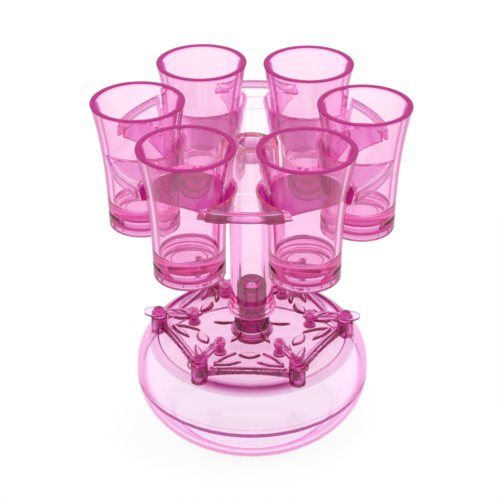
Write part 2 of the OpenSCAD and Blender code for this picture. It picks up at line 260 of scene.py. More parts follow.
def mapRange(tree, value, fromSpan, toSpan, interpolation="LINEAR"):
    # carries a value from one span to the other and holds it at the ends
    inputs = {"Value": value, "From Min": fromSpan[0], "From Max": fromSpan[1],
              "To Min": toSpan[0], "To Max": toSpan[1]}
    return addNode(tree, "MapRange", inputs, interpolation_type=interpolation).outputs["Result"]


def combine(tree, operation, first, second):
    # one sum with two values
    return addNode(tree, "Math", {0: first, 1: second}, operation=operation).outputs[0]


def noise(tree, scale, detail):
    # cloudy noise on the piece's own coordinates
    place = addNode(tree, "TexCoord", {}).outputs["Object"]
    return addNode(tree, "TexNoise", {"Vector": place, "Scale": scale, "Detail": detail}).outputs["Fac"]


def clearAcrylic(name, density, **changes):
    # absorbing body, tinted film, and a deep colour at marked points, for tint and painted shade, and
    # where the skin turns away
    a = {**acrylic, **changes}
    material, tree = newMaterial(name)
    mark = addNode(tree, "Attribute", {}, attribute_name="tintAndShade").outputs["Fac"]
    facing = addNode(tree, "LayerWeight", {"Blend": 0.5}).outputs["Facing"]
    graze = mapRange(tree, facing, a["grazing"], (0, a["grazeShare"]), "SMOOTHSTEP")
    outline = mapRange(tree, facing, a["outline"], (0, a["outlineShare"]))
    # mark or grazing share, whichever is larger, up to 1, and the outline's share on top, a painted
    # dark outline near the silhouette
    share = combine(tree, "MINIMUM", combine(tree, "MAXIMUM", mark, graze), 1)
    share = combine(tree, "ADD", share, outline)
    # the deep colour to the power of the share: white at 0, the deep colour at 1
    tint = addNode(tree, "Gamma", {"Color": (*a["deep"], 1), "Gamma": share}).outputs["Color"]
    # slow ripple of moulded plastic, and faint handling marks in the gloss
    ripple = noise(tree, a["rippleScale"], a["rippleDetail"])
    bump = addNode(tree, "Bump", {"Strength": a["rippleStrength"], "Distance": a["rippleDistance"],
                                  "Height": ripple}).outputs["Normal"]
    scuff = noise(tree, a["scuffScale"], a["scuffDetail"])
    skin = addNode(tree, "BsdfPrincipled", {
        "IOR": a["ior"],
        "Base Color": tint,
        "Coat Weight": 1,
        "Coat Roughness": 0,
        "Coat IOR": a["filmIor"],
        "Coat Tint": (*a["film"], 1),
        "Normal": bump,
        "Roughness": mapRange(tree, scuff, a["scuffed"], (0, a["roughHigh"])),
        # past a mark of 1 less light goes through and less is mirrored, and the rest is scattered
        "Transmission Weight": mapRange(tree, mark, (1, 2), a["clearness"]),
        "Specular IOR Level": mapRange(tree, mark, (1, 2), a["gloss"]),
    }).outputs["BSDF"]
    body = addNode(tree, "VolumeAbsorption", {"Color": (*a["absorbed"], 1), "Density": density})
    addNode(tree, "OutputMaterial", {"Surface": skin, "Volume": body.outputs["Volume"]})
    return material


finishes = {
    "clear_pink": clearAcrylic("bowlAcrylic", 7.0, absorbed=(0.97, 0.02, 0.8), film=(1.0, 0.97, 1.0),
                               deep=(0.85, 0.16, 0.5), grazeShare=1.0),
    "deck_pink": clearAcrylic("deckAcrylic", 60.0, absorbed=(0.9, 0.0, 0.55), deep=(0.2, 0.006, 0.08)),
    "rack_pink": clearAcrylic("rackAcrylic", 5.0, film=(1.0, 0.99, 0.996), deep=(0.55, 0.05, 0.36)),
    "collar_pink": clearAcrylic("collarAcrylic", 40.0, deep=(0.58, 0.05, 0.38)),
    "glass_pink": clearAcrylic("glassAcrylic", 45.0, absorbed=(0.93, 0.0, 0.62),
                               deep=(0.36, 0.012, 0.17)),
    "neck_pink": clearAcrylic("neckAcrylic", 200.0, absorbed=(0.85, 0.0, 0.55), deep=(0.3, 0.02, 0.19)),
    "band_silicone": clearAcrylic("bandSilicone", 20.0, deep=(0.2, 0.006, 0.1), roughHigh=0.15),
    "tap_pink": clearAcrylic("tapAcrylic", 60.0, deep=(0.36, 0.02, 0.18)),
    "stopper_pink": clearAcrylic("stopperSilicone", 120.0, deep=(0.45, 0.02, 0.25), roughHigh=0.12),
}
columnFinish = clearAcrylic("columnAcrylic", 34.0, film=(1.0, 0.975, 0.99), deep=(0.93, 0.4, 0.75),
                            grazeShare=1.0, grazing=(0.33, 0.43))
plugFinish = clearAcrylic("plugAcrylic", 20.0)


def dress(piece, body, slotName, *nodes, finish=None):
    # gives a piece its finish, found by the slot's name unless one is given, its body, and hides the
    # nodes that it stands for
    piece.data.materials.append(finish or finishes[slotName])
    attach(piece, body)
    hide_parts(*nodes)


# Reservoir.

bowl = {
    "radius": bowlHigh[0],
    "seamZ": 28.3,
    "lowerHeight": 40.1,
    "shoulderHeight": 31.3,
    "squareness": 2.86,
    "wall": 2.4,
    "foot": 3.0,
    "footBlend": 3.0,
    "bandDepth": 0.55,
    "insideDrop": 0.05,
    "skin": 0.5,
    "lineAbove": 2.6,  # faint line over the band
    "lineWidth": 0.3,
    "lineShare": 0.45,
    "rows": 40,
    "shoulderRows": 44,
    "footRows": 72,
    "segments": 240,
}

scarf = {
    "innerR": 50.4,
    "outerR": 56.45,
    "gap": 0.02,
    "rows": 12,
}

band = {
    "gap": 0.04,
    "inset": 0.05,
    "edgeInset": 0.1,
    "edgeFillet": 0.25,
    "faceFillet": 2.0,
    "stainWidth": 0.12,
}


def superellipse(share):
    # the other half axis' share, (1 - share^n)^(1/n)
    return (1 - share ** bowl["squareness"]) ** (1 / bowl["squareness"])


def shoulderRadius(z, wall=0.0):
    # superellipse of the shoulder: radius at height z
    share = np.clip((z - bowl["seamZ"]) / (bowl["shoulderHeight"] - wall), 0, 1)
    return (bowl["radius"] - wall) * superellipse(share)


def shoulderHeightAt(r):
    # the same superellipse turned round: height at radius r
    return bowl["seamZ"] + bowl["shoulderHeight"] * superellipse(np.clip(r / bowl["radius"], 0, 1))


def lowerRadius(z):
    # ellipse: radius at height z is R * sqrt(1 - (depth share)^2)
    return bowl["radius"] * np.sqrt(1 - ((bowl["seamZ"] - z) / bowl["lowerHeight"]) ** 2)


def scarfHeight(r):
    # joint of deck and bowl: evenly from the bowl's inside, at the inner radius, to its outside
    share = np.clip((r - scarf["innerR"]) / (scarf["outerR"] - scarf["innerR"]), 0, 1)
    insideHeight = bowl["shoulderHeight"] - bowl["wall"]
    inside = bowl["seamZ"] + insideHeight * superellipse(r / (bowl["radius"] - bowl["wall"]))
    return inside + (shoulderHeightAt(r) - inside) * share - scarf["gap"]


def makeBowl():
    # both halves as one wall: ellipse below, superellipse above, and a shallow recess where they meet
    b = bowl
    low, high = bandLow[2], bandHigh[2]
    quarter = np.linspace(0, math.pi / 2, b["rows"])
    z = low * (1 - np.cos(quarter))
    outsideLow = np.stack([lowerRadius(z), z], 1)
    recess = np.array([[outsideLow[-1, 0] - b["bandDepth"], low],
                       [float(shoulderRadius(high)) - b["bandDepth"], high]])
    top = float(shoulderHeightAt(scarf["outerR"]))
    z = high + (top - high) * np.sin(np.linspace(0, math.pi / 2, b["shoulderRows"]))
    outsideHigh = np.stack([shoulderRadius(z), z], 1)
    lap = np.linspace(scarf["outerR"], scarf["innerR"], scarf["rows"])[1:]
    joint = np.stack([lap, scarfHeight(lap) - scarf["gap"]], 1)
    z = joint[-1, 1] - b["insideDrop"] + (b["seamZ"] - joint[-1, 1]) * (1 - np.cos(quarter))
    insideHigh = np.stack([shoulderRadius(z, b["wall"]), z], 1)
    # the wall's offset ellipse carried on below the foot, then lifted to it by a smooth maximum
    dip = np.linspace(0, math.pi / 2, b["footRows"])[1:]
    insideR = (b["radius"] - b["wall"]) * np.cos(dip)
    drop = b["seamZ"] - (b["lowerHeight"] - b["wall"]) * np.sin(dip) - b["foot"]
    insideLow = np.stack([insideR, b["foot"] + (drop + np.hypot(drop, b["footBlend"])) / 2], 1)
    insideLow[-1, 0] = 0
    profile = np.concatenate([[[0, 0]], outsideLow, recess, outsideHigh, joint, insideHigh, insideLow])
    piece = revolved("bowlShell", profile, b["segments"])
    points = localPoints(piece)
    isOutside = distanceOut(points) > shoulderRadius(points[:, 2]) - b["skin"]
    line = around(points[:, 2], high + b["lineAbove"], b["lineWidth"])
    tintAndShade(piece, b["lineShare"] * line * isOutside)
    dress(piece, "base", "clear_pink", "lower_bowl", "upper_bowl")


def makeSeamBand():
    # ring that lies in the shell's recess, its edges darker
    b = band
    low, high = bandLow[2] + b["gap"], bandHigh[2] - b["gap"]
    inner = bowl["radius"] - bowl["bandDepth"] + b["gap"]
    outer = bowl["radius"] - b["inset"]
    edge = outer - b["edgeInset"]
    corners = [(inner, low), (edge, low, b["edgeFillet"]), (outer, (low + high) / 2, b["faceFillet"]),
               (edge, high, b["edgeFillet"]), (inner, high)]
    piece = revolved("seamBand", roundedProfile(corners), bowl["segments"])
    z = localPoints(piece)[:, 2]
    tintAndShade(piece, np.maximum(around(z, low, b["stainWidth"]), around(z, high, b["stainWidth"])))
    dress(piece, "base", "band_silicone", "seam_band")


deck = {
    "top": 55.5,
    "under": 51.6,
    "innerR": 9.65,
    "edgeProud": 0.5,
    "edgeEase": 0.35,
    "underRim": ((-2, 0), (1, -1.2)),  # the underside's bend, from the platform's edge
    "crescentR": 51.6,
    "crescentDepth": 1.3,
    "crescentShade": (0.4, 2.2, 0.9),  # how far out, width and share of the front crescent's painted shade band
    "crescentEnds": (27.0, 23.0),
    "beadWidth": 2.3,
    "beadHeight": 1.2,
    "edgeBeadIn": 0.9,
    "edgeBeadBow": 0.6,
    "edgeBeadReach": 20,
    "edgeBeadEnd": (18.0, 20.5),
    "scallopR": 20.0,
    "scallopC": 47.0,
    "scallopStart": (114, 122),
    "scallopEnd": (150, 162),
    "lensL": 11.6,
    "lensC": 29.7,
    "leafL": 15.0,
    "leafW": 3.4,
    "leafC": (37.6, 11.6),
    "leafTurn": 78.0,
    "ribL": 10.5,
    "ribW": 3.0,
    "ribC": 15.5,
    "flankSlopes": (0.25, 0.7),
    "flankShade": 0.95,
    "seatWidth": 0.6,
    "radialRows": 120,
    "turnsPerSide": 120,
}
deck["flatR"] = float(shoulderRadius(deck["top"]))


def roundBead(distance, halfWidth):
    # a bead's height share: a round cross-section that falls to nothing at its half width
    share = np.clip(np.abs(distance) / np.maximum(halfWidth, 1e-6), 0, 1)
    return np.sqrt(np.maximum(0, 1 - share ** 2)) * (halfWidth > 0.02)


def lensBead(x, y, centre, turn, length, width):
    # pointed oval: half width shrinks with the square of the distance along its axis
    c, s = math.cos(math.radians(turn)), math.sin(math.radians(turn))
    along = (x - centre[0]) * c + (y - centre[1]) * s
    across = -(x - centre[0]) * s + (y - centre[1]) * c
    halfWidth = width / 2 * np.maximum(0, 1 - (2 * along / length) ** 2)
    return roundBead(across, halfWidth)


def deckHeight(x, y):
    # height over the plan: platform, crescent or rim, plus the raised beads of the nearest side
    d = deck
    r = np.hypot(x, y)
    local = (np.arctan2(y, x) - firstAzimuth) % sector - sector / 2
    px, py = r * np.cos(local), np.abs(r * np.sin(local))
    recess = d["crescentDepth"] * (1 - smoothStep(d["crescentR"] - d["edgeEase"], d["crescentR"], r))
    outside = np.minimum(shoulderHeightAt(r), d["top"]) - recess
    hexIn = d["flatR"] + d["edgeProud"]
    platform = 1 - smoothStep(hexIn - d["edgeEase"], hexIn, px)
    base = outside + (d["top"] - outside) * platform
    # the lens in the middle of a side, the leaves beside it and the ribs round the neck
    beads = lensBead(px, py, (d["lensC"], 0), 90, d["lensL"], d["lensL"] / 2)
    beads = np.maximum(beads, lensBead(px, py, d["leafC"], d["leafTurn"], d["leafL"], d["leafW"]))
    fromCorner = sector / 2 - np.abs(local)
    rx, ry = r * np.cos(fromCorner), r * np.sin(fromCorner)
    beads = np.maximum(beads, lensBead(rx, ry, (d["ribC"], 0), 0, d["ribL"], d["ribW"]))
    # the scalloped arc, then the bead along the platform's edge
    fromScallop = np.hypot(px - d["scallopC"], py)
    angle = np.degrees(np.arctan2(py, px - d["scallopC"]))
    ends = smoothStep(*d["scallopStart"], angle) * (1 - smoothStep(*d["scallopEnd"], angle))
    beads = np.maximum(beads, roundBead(fromScallop - d["scallopR"], d["beadWidth"] / 2 * ends))
    bow = d["edgeBeadBow"] * np.cos(np.clip(py / d["edgeBeadReach"], 0, 1) * math.pi / 2)
    edgeLine = hexIn - d["edgeBeadIn"] - d["beadWidth"] / 2 - bow
    edgeEnd = 1 - smoothStep(*d["edgeBeadEnd"], py)
    beads = np.maximum(beads, roundBead(px - edgeLine, d["beadWidth"] / 2 * edgeEnd))
    return base + d["beadHeight"] * beads


def makeDeck():
    # the relief on top and a bent underside, joined at the bore and along the scarf
    d = deck
    innerR, outerR = d["innerR"], deckHigh[0]
    columns = d["turnsPerSide"] * places
    turn = np.linspace(0, 2 * math.pi, columns, endpoint=False)
    radii = np.linspace(outerR, innerR, d["radialRows"])
    rGrid, tGrid = np.meshgrid(radii, turn, indexing="ij")
    x, y = rGrid * np.cos(tGrid), rGrid * np.sin(tGrid)
    top = np.stack([x, y, deckHeight(x, y)], -1)
    lap = np.linspace(scarf["innerR"], outerR, scarf["rows"])
    bend = [(d["flatR"] + out, d["under"] + up) for out, up in d["underRim"]]
    under = np.concatenate([[(innerR, d["under"])], bend,
                            np.stack([lap, scarfHeight(lap) + scarf["gap"]], 1)])
    grid = np.concatenate([top, revolvedGrid(under, columns)])
    # painted shade: the steep flanks of the relief take the deep colour as dark lines, and the seats
    # under the spouts take a dark ring
    relief = top[..., 2] - np.minimum(shoulderHeightAt(rGrid), d["top"])
    radial = np.gradient(relief, axis=0) / np.gradient(rGrid, axis=0)
    across = (np.roll(relief, -1, 1) - np.roll(relief, 1, 1)) / (2 * rGrid * (turn[1] - turn[0]))
    share = smoothStep(*d["flankSlopes"], np.hypot(radial, across)) * d["flankShade"]
    local = (tGrid - firstAzimuth + sector / 2) % sector - sector / 2
    seat = np.hypot(rGrid * np.cos(local) - tap["spoutC"], rGrid * np.sin(local))
    share = np.maximum(share, around(seat, (tap["spoutR"] + tap["spoutBoreR"]) / 2, d["seatWidth"]))
    # painted shade: the photo shows the front crescent alone as a deep band
    shadeOut, shadeWidth, shadeShare = d["crescentShade"]
    fromFront = np.degrees(np.abs((tGrid + math.pi / 2 + math.pi) % (2 * math.pi) - math.pi))
    deep = shadeShare * around(rGrid, d["crescentR"] + shadeOut, shadeWidth)
    share = np.maximum(share, deep * smoothStep(*d["crescentEnds"], fromFront))
    share = np.concatenate([share, np.zeros((len(under), columns))])
    piece = closedGrid("deckMoulding", grid, 40.0, wrapRows=True, share=share)
    dress(piece, "base", "deck_pink", "deck")


neck = {
    "barrelR": 9.6,
    "spigotR": 7.9,
    "boreR": 6.2,
    "drainR": 3.6,
    "shoulderZ": 65.8,
    "floor": 2.2,
    "flange": 1.95,
    "flangeGap": 0.05,
    "skin": 0.1,
    "barrelStain": 0.9,
    "spigotStain": 0.4,
    "rimStain": 0.8,
    "rimWidth": 0.5,
    "segments": 128,
}


def makeNeck():
    # barrel with a flange under the deck, a spigot for the column and a floor with the drain
    n = neck
    low, top, bottom = neckLow[2], neckHigh[2], neckLow[2] + n["floor"]
    flangeR, flangeTop = neckHigh[0], deck["under"] - n["flangeGap"]
    flangeLow = flangeTop - n["flange"]
    corners = [(n["drainR"], low, 0.3), (n["barrelR"], low, 0.8), (n["barrelR"], flangeLow),
               (flangeR, flangeLow, 0.4), (flangeR, flangeTop, 0.3), (n["barrelR"], flangeTop),
               (n["barrelR"], n["shoulderZ"], 0.5), (n["spigotR"], n["shoulderZ"]),
               (n["spigotR"], top, 0.7), (n["boreR"], top, 0.7),
               (n["boreR"], bottom, 0.8), (n["drainR"], bottom, 0.3)]
    piece = revolved("neckBarrel", roundedProfile(corners, 6), n["segments"])
    points = localPoints(piece)
    r = distanceOut(points)
    onBarrel = n["barrelStain"] * (np.abs(r - n["barrelR"]) < n["skin"])
    onSpigot = n["spigotStain"] * (np.abs(r - n["spigotR"]) < n["skin"])
    onRim = n["rimStain"] * around(points[:, 2], top, n["rimWidth"])
    tintAndShade(piece, np.maximum(onBarrel, np.maximum(onSpigot, onRim)))
    dress(piece, "base", "neck_pink", "neck")


plug = {
    "drainR": 3.55,
    "bungR": 5.2,
    "bungH": 3.0,
    "coneH": 4.2,
    "stemR": 3.4,
    "gap": 0.15,
    "segments": 96,
}


def makePlug():
    # bung on the drain's edge, with a stem that stands up through the neck
    p = plug
    low, top = plugLow[2], plugHigh[2]
    seat = neckLow[2] + neck["floor"] + p["gap"]
    corners = [(0, low), (p["drainR"], low, 0.6), (p["drainR"], seat), (p["bungR"], seat, 0.4),
               (p["bungR"], seat + p["bungH"], 1.2), (p["stemR"], seat + p["coneH"], 0.8),
               (p["stemR"], top, 1.2), (0, top)]
    piece = revolved("drainPlug", roundedProfile(corners, 6), p["segments"])
    dress(piece, "plug", "neck_pink", "drain_plug", finish=plugFinish)


# Taps.

tap = {
    "spoutC": 50.8,
    "spoutR": 4.4,
    "spoutBoreR": 2.6,
    "spoutTop": 59.8,
    "spoutFloor": 49.05,
    "spoutStain": 0.25,
    "spoutRimWidth": 0.5,
    "spoutSegments": 72,
    "pivotC": 31.5,
    "postR": 2.4,
    "postFootR": 3.4,
    "postFootH": 0.9,
    "postSunk": 0.45,
    "postStain": 0.35,
    "pinR": 1.45,
    "pinGap": 0.03,
    "pinUnder": 0.05,
    "pinOver": 0.15,
    "pinHeadOut": 1.0,
    "pinHeadH": 0.9,
    "pinSegments": 48,
    "armR": 2.1,
    "armZ": 62.1,
    "eyeR": 3.1,
    "eyeTop": 63.15,
    "eyeToArm": (2.8, 4.6),
    "leverZ": 59.95,
    "padL": 12.8,
    "padW": 9.6,
    "padT": 1.4,
    "padZ": 61.2,
    "padOut": 1.6,
    "armToPad": (-6.5, -3.0),
    "outlineBlend": 6,
    "flatness": 0.45,
    "leverRows": 72,
    "leverRing": 48,
    "edgeShade": 0.8,
    "edgeSpan": (0.9, 0.99),
    "discIn": 0.4,
    "discGap": 0.15,
    "padGap": 0.05,
    "knobR": 3.2,
    "knobH": 2.6,
    "knobEdge": 0.3,
    "knobNeckR": 1.6,
    "knobStain": 0.45,
    "segments": 64,
}


def makeSpout(place):
    # hollow tube, darker towards its mouth
    t = tap
    corners = [(t["spoutBoreR"], t["spoutFloor"]), (t["spoutR"], t["spoutFloor"]),
               (t["spoutR"], t["spoutTop"], 0.5), (t["spoutBoreR"], t["spoutTop"], 0.5)]
    profile = roundedProfile(corners, 5)
    piece = revolved("spoutTube%d" % place, profile, t["spoutSegments"], place, t["spoutC"])
    z = localPoints(piece)[:, 2]
    tintAndShade(piece, np.maximum(around(z, t["spoutTop"], t["spoutRimWidth"]), t["spoutStain"]))
    dress(piece, "base", "tap_pink", "spout_%d" % place)


def makePost(place):
    # round leg on a wider foot, with a bore for the pin
    t = tap
    low, footTop = deck["top"] - t["postSunk"], deck["top"] + t["postFootH"]
    top, boreR = t["spoutTop"], t["pinR"] + t["pinGap"]
    corners = [(0, low), (t["postFootR"], low), (t["postFootR"], footTop, 0.4),
               (t["postR"], footTop, 0.5), (t["postR"], top, 0.3), (boreR, top), (boreR, footTop),
               (0, footTop)]
    piece = revolved("pivotPost%d" % place, roundedProfile(corners), t["segments"], place, t["pivotC"])
    tintAndShade(piece, np.full(len(piece.data.vertices), t["postStain"]))
    dress(piece, "base", "tap_pink", "pivot_post_%d" % place)


def makePin(place):
    # shank in the post's bore, under a flat head over the lever's eye
    t = tap
    low, headZ = deck["top"] + t["postFootH"] + t["pinUnder"], t["eyeTop"] + t["pinOver"]
    headR, headTop = t["pinR"] + t["pinHeadOut"], headZ + t["pinHeadH"]
    corners = [(0, low), (t["pinR"], low, 0.2), (t["pinR"], headZ), (headR, headZ, 0.2),
               (headR, headTop, 0.35), (0, headTop)]
    profile = roundedProfile(corners)
    piece = revolved("pivotPin%d" % place, profile, t["pinSegments"], place, t["pivotC"])
    dress(piece, "base", "tap_pink", "pivot_pins")


def leverGrid():
    # rings across the lever: half width is a smooth maximum of eye, arm and pad, heights blend
    t = tap
    armL = t["spoutC"] - t["pivotC"]
    padC = armL + t["padOut"]
    start, end = -t["eyeR"], padC + t["padL"] / 2
    share = (1 - np.cos(np.linspace(0, math.pi, t["leverRows"]))) / 2
    x = start + (end - start) * share
    eye = t["eyeR"] * np.sqrt(np.clip(1 - (x / t["eyeR"]) ** 2, 0, 1))
    pad = t["padW"] / 2 * np.sqrt(np.clip(1 - ((x - padC) / (t["padL"] / 2)) ** 2, 0, 1))
    arm = t["armR"] * ((x > 0) & (x < padC))
    blend = t["outlineBlend"]
    halfWidth = (eye ** blend + pad ** blend + arm ** blend) ** (1 / blend)
    toArm = smoothStep(*t["eyeToArm"], x)
    toPad = smoothStep(armL + t["armToPad"][0], armL + t["armToPad"][1], x)
    high = t["eyeTop"] + (t["armZ"] + t["armR"] - t["eyeTop"]) * toArm
    high = high + (t["padZ"] + t["padT"] - high) * toPad
    low = t["leverZ"] + (t["armZ"] - t["armR"] - t["leverZ"]) * toArm
    low = low + (t["padZ"] - low) * toPad
    # the height closes with the width at both ends, and the arm alone is round
    middle, halfHeight = (high + low) / 2, (high - low) / 2 * np.sqrt(np.minimum(1, halfWidth))
    ring = np.linspace(0, 2 * math.pi, t["leverRing"], endpoint=False)
    power = (t["flatness"] + (1 - t["flatness"]) * toArm * (1 - toPad))[:, None]
    y = halfWidth[:, None] * superPower(np.cos(ring), power)
    z = middle[:, None] + halfHeight[:, None] * superPower(np.sin(ring), power)
    return np.stack([x[:, None] + 0 * y, y, z], -1)


def makeLever(place):
    # the lever's rings at their place, with painted shade: the narrow edge all round is dark in the
    # deep colour
    t = tap
    grid = turned(leverGrid(), placeAngle(place), (t["pivotC"], 0, 0))
    sideways = np.abs(np.cos(np.linspace(0, 2 * math.pi, t["leverRing"], endpoint=False)))
    share = t["edgeShade"] * smoothStep(*t["edgeSpan"], sideways) + 0 * grid[..., 0]
    piece = closedGrid("tapLever%d" % place, grid, 50.0, share=share)
    dress(piece, "lever_%d" % place, "tap_pink", "tap_lever_%d" % place)


def makeStopper(place):
    # disc under the pad, neck through it and a domed knob on top
    t = tap
    discR, discZ = t["spoutR"] - t["discIn"], t["spoutTop"] + t["discGap"]
    padTop, discTop = t["padZ"] + t["padT"], t["padZ"] - t["padGap"]
    neckR, knobZ = t["knobNeckR"], padTop + t["padGap"]
    dome = np.linspace(0, math.pi / 2, 14)
    domeHeight = t["knobEdge"] + (t["knobH"] - t["knobEdge"]) * np.sin(dome)
    head = np.stack([t["knobR"] * np.cos(dome), padTop + domeHeight], 1)
    foot = roundedProfile([(0, discZ), (discR, discZ, 0.3), (discR, discTop, 0.3),
                           (neckR, discTop), (neckR, knobZ), (t["knobR"], knobZ)])
    profile = np.concatenate([foot, head[:-1], [[0, padTop + t["knobH"]]]])
    piece = revolved("tapStopper%d" % place, profile, t["segments"], place, t["spoutC"])
    z = localPoints(piece)[:, 2]
    tintAndShade(piece, t["knobStain"] * smoothStep(padTop - 0.1, padTop + 0.1, z))
    dress(piece, "lever_%d" % place, "stopper_pink", "tap_stopper_%d" % place)


# Carrier.

column = {
    "boreR": 7.95,
    "outerR": 11.6,
    "footH": 2.7,
    "flareH": 8.0,
    "segments": 160,
}


def makeColumn():
    # tube with a flared foot
    c = column
    low, top, footR = columnLow[2], columnHigh[2], columnHigh[0]
    corners = [(c["boreR"], low, 0.3), (footR, low, 0.8), (footR, low + c["footH"], 1.5),
               (c["outerR"], low + c["flareH"], 4.0), (c["outerR"], top, 0.2), (c["boreR"], top, 0.2)]
    piece = revolved("columnTube", roundedProfile(corners, 8), c["segments"])
    dress(piece, "carrier", "clear_pink", "column", finish=columnFinish)


rack = {
    "top": rackHigh[2],
    "outerR": rackHigh[1],
    "plate": 2.2,
    "edge": 0.5,
    "lipH": 5.8,
    "lipT": 2.6,
    "lipFillet": 0.8,
    "lipFoot": 1.0,
    "notchR": 22.8,
    "glassC": 56.5,
    "rest": 0.15,
    "spigotR": 7.9,
    "spigotBore": 6.1,
    "spigotH": 8.0,
    "lipStain": 0.25,
    "browShade": 0.9,
    "browWidth": 0.3,
    "browShare": 0.6,  # of the edge's rounding
    "petalColumns": 45,
    "arcRows": 56,
    "wallRows": 7,
    "hubRows": 12,
}
rack["under"] = rack["top"] - rack["plate"]
rack["lipZ"] = rack["top"] - rack["lipH"]

web = {
    "centre": 52.5,
    "thickness": 1.6,
    "height": 8.0,
    "tuck": 0.05,
    "rows": 6,
}

collar = {
    "wall": 1.6,
    "height": 23.5,
    "tuck": 0.05,
    "footFillet": 0.7,
    "columns": 97,
    # painted shade: each collar's deep share all over, then how deep it is where it faces the column
    "shadeShares": (1.0, 0.3, 0.1, 0.1, 0.3, 1.0),
    "heart": 0.9,
    "heartSpan": (0.6, 0.9),
}
collar["lowZ"] = rack["top"] - collar["height"]


def notchRadius(z):
    # cone of a notch: its radius shrinks evenly from the rack's top to the collar's lower edge
    low = glassRadius(collar["lowZ"] - glassLow[2]) + rack["rest"]
    return low + (rack["notchR"] - low) * (z - collar["lowZ"]) / collar["height"]


def notchAngle(r, z):
    # half angle of a notch seen from the rack's middle, by the cosine rule with both centres
    notchR, glassC = notchRadius(z), rack["glassC"]
    cosine = (r ** 2 + glassC ** 2 - notchR ** 2) / (2 * np.maximum(r, 1e-6) * glassC)
    return np.arccos(np.clip(cosine, -1, 1)) * (r > glassC - notchR)


def notchChain(z, endR):
    # radii of points spaced evenly round the notch's circle at height z, out to radius endR
    radius = notchRadius(z)
    end = math.acos((rack["glassC"] ** 2 + radius ** 2 - endR ** 2) / (2 * rack["glassC"] * radius))
    turn = np.linspace(0, end, rack["arcRows"])
    r = np.sqrt(rack["glassC"] ** 2 + radius ** 2 - 2 * rack["glassC"] * radius * np.cos(turn))
    return np.stack([r, z + 0 * r], 1)


def upright(r, start, end):
    # straight wall at radius r from one height to the other, without its first point
    z = np.linspace(start, end, rack["wallRows"])[1:]
    return np.stack([r + 0 * z, z], 1)


def rackRows():
    # the rack's profile in four lengths: top of the hub, the plate's top out to the lip's foot, its
    # underside from there back, and the underside of the hub with its spigot
    k = rack
    outerR, innerR = k["outerR"], k["outerR"] - k["lipT"]
    edge, foot, fillet = k["edge"], k["lipFoot"], k["lipFillet"]
    top, under, lipZ = k["top"], k["under"], k["lipZ"]
    upper = np.concatenate([
        notchChain(top, outerR - edge),
        quarterArc((outerR - edge, top - edge), (0, edge), (edge, 0)),
        upright(outerR, top - edge, lipZ + foot),
        quarterArc((outerR - foot, lipZ + foot), (foot, 0), (0, -foot))])
    lower = np.concatenate([
        notchChain(under, innerR - fillet),
        quarterArc((innerR - fillet, under - fillet), (0, fillet), (fillet, 0)),
        upright(innerR, under - fillet, lipZ + fillet),
        quarterArc((innerR + fillet, lipZ + fillet), (-fillet, 0), (0, -fillet))])
    hubTop = np.linspace(0, upper[0, 0], k["hubRows"])[:-1]
    hubUnder = np.linspace(k["spigotR"], lower[0, 0], k["hubRows"])[1:-1]
    low = under - k["spigotH"]
    spigot = roundedProfile([(0, under), (k["spigotBore"], under), (k["spigotBore"], low, 0.3),
                             (k["spigotR"], low, 0.5), (k["spigotR"], under)])
    return (np.stack([hubTop, top + 0 * hubTop], 1), upper, lower[::-1],
            np.concatenate([spigot, np.stack([hubUnder, under + 0 * hubUnder], 1)])[::-1])


def makeRackPlate():
    # six petals whose rows leave out the notches: each row spans only the angles between two notches
    k = rack
    hubTop, upper, lower, hubUnder = rackRows()
    profile = np.concatenate([hubTop, upper, lower, hubUnder])
    rows, columns, pairs = len(profile), k["petalColumns"], len(upper)
    half = sector / 2 - notchAngle(profile[:, 0], profile[:, 1])
    petal = (np.arange(places)[:, None, None] + 0.5) * sector + firstAzimuth
    angle = petal + half[None, :, None] * np.linspace(-1, 1, columns)
    r = profile[None, :, :1] + 0 * angle
    points = np.stack([r * np.cos(angle), r * np.sin(angle), profile[None, :, 1:] + 0 * angle], -1)
    # petals share their side points where there is no notch, and all share the middle
    index = np.arange(places * rows * columns).reshape(places, rows, columns)
    isWelded, isPole = half > sector / 2 - 1e-9, profile[:, 0] < 1e-9
    index[:, isWelded, -1] = np.roll(index[:, isWelded, 0], -1, axis=0)
    index[:, isPole, :] = index[:1, isPole, :1]
    surface = np.stack([index[:, :-1, :-1], index[:, :-1, 1:], index[:, 1:, 1:], index[:, 1:, :-1]], -1)
    # walls along the notches join each point of the plate's top to its partner below
    top = len(hubTop) + np.arange(pairs)
    bottom = len(hubTop) + 2 * pairs - 1 - np.arange(pairs)
    walls = []
    for side, order in ((0, (0, 3, 2, 1)), (-1, (0, 1, 2, 3))):
        high, low = index[:, top, side], index[:, bottom, side]
        quads = np.stack([high[:, :-1], low[:, :-1], low[:, 1:], high[:, 1:]], -1)
        walls.append(quads[..., order].reshape(-1, 4))
    faces = np.concatenate([surface.reshape(-1, 4), *walls])
    used, compact = np.unique(faces, return_inverse=True)
    piece = finishMesh("rackPlate", points.reshape(-1, 3)[used], compact.reshape(faces.shape), 28.0)
    # the lip is tinted, and painted shade makes its foot deep, and the outer edge's rounding too
    points = localPoints(piece)
    r, z = distanceOut(points), points[:, 2]
    brow = k["edge"] * k["browShare"]
    onLip = smoothStep(k["under"] + 0.1, k["under"] - 0.6, z) * (r > k["outerR"] - k["lipT"] - 1)
    onFoot = smoothStep(k["lipZ"] + 1.2, k["lipZ"] + 0.4, z)
    onBrow = around(z, k["top"] - brow, k["browWidth"]) * (r > k["outerR"] - brow)
    tintAndShade(piece, np.maximum(np.maximum(onFoot, k["lipStain"] * onLip), k["browShade"] * onBrow))
    dress(piece, "carrier", "rack_pink", "rack")


